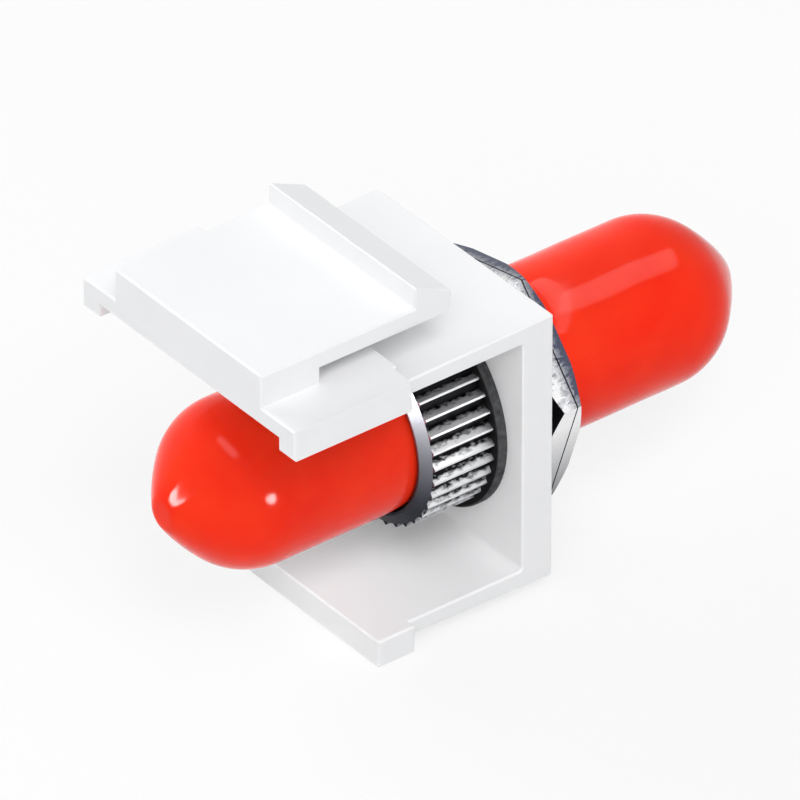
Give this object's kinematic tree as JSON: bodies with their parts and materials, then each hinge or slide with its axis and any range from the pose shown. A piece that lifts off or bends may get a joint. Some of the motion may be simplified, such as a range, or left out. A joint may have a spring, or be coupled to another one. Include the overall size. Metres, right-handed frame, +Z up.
{
  "type": "fibre keystone jack",
  "caption": "Straight ST to ST fibre coupler clamped in a snap-in keystone insert with a sprung latch, each port closed by a pull-off dust cap.",
  "frame": {"origin": "centre of the coupler's axis in the plane of the insert's room face", "axes": "-Y out of the room face, +Y to the cable side, +Z up towards the latch, +X to the right seen from the room"},
  "size_m": [0.0176, 0.0361, 0.0208],
  "materials": {
    "white_plastic": "satin moulded white ABS",
    "nickel_body": "nickel-plated brass with fine machining marks",
    "nickel_nut": "bright nickel plate on a straight knurl",
    "black_washer": "black, satin",
    "brass": "turned",
    "zirconia": "polished ceramic",
    "red_vinyl": "glossy dipped vinyl"
  },
  "bodies": {
    "jack": {"keystone_housing": "white_plastic", "rear_body": "nickel_body", "front_barrel": "nickel_body", "sleeve_holder": "brass", "sleeve_retainer": "brass", "split_sleeve": "zirconia", "rear_washer": "black_washer", "front_washer": "black_washer", "knurled_nut": "nickel_nut"},
    "latch": {"latch_arm": "white_plastic"},
    "rear_cap": {"rear_dust_cap": "red_vinyl"},
    "front_cap": {"front_dust_cap": "red_vinyl"}
  },
  "joints": [
    {"name": "latch_flex", "type": "hinge", "parent": "jack", "child": "latch", "pos_m": [0, 0.01401, 0.00994], "axis": [1, 0, 0], "range_deg": [0, 10], "stiffness_Nm_per_rad": 0.3},
    {"name": "rear_cap_pull", "type": "slide", "parent": "jack", "child": "rear_cap", "axis": [0, 1, 0], "range_m": [0, 0.02]},
    {"name": "front_cap_pull", "type": "slide", "parent": "jack", "child": "front_cap", "axis": [0, -1, 0], "range_m": [0, 0.02]}
  ]
}
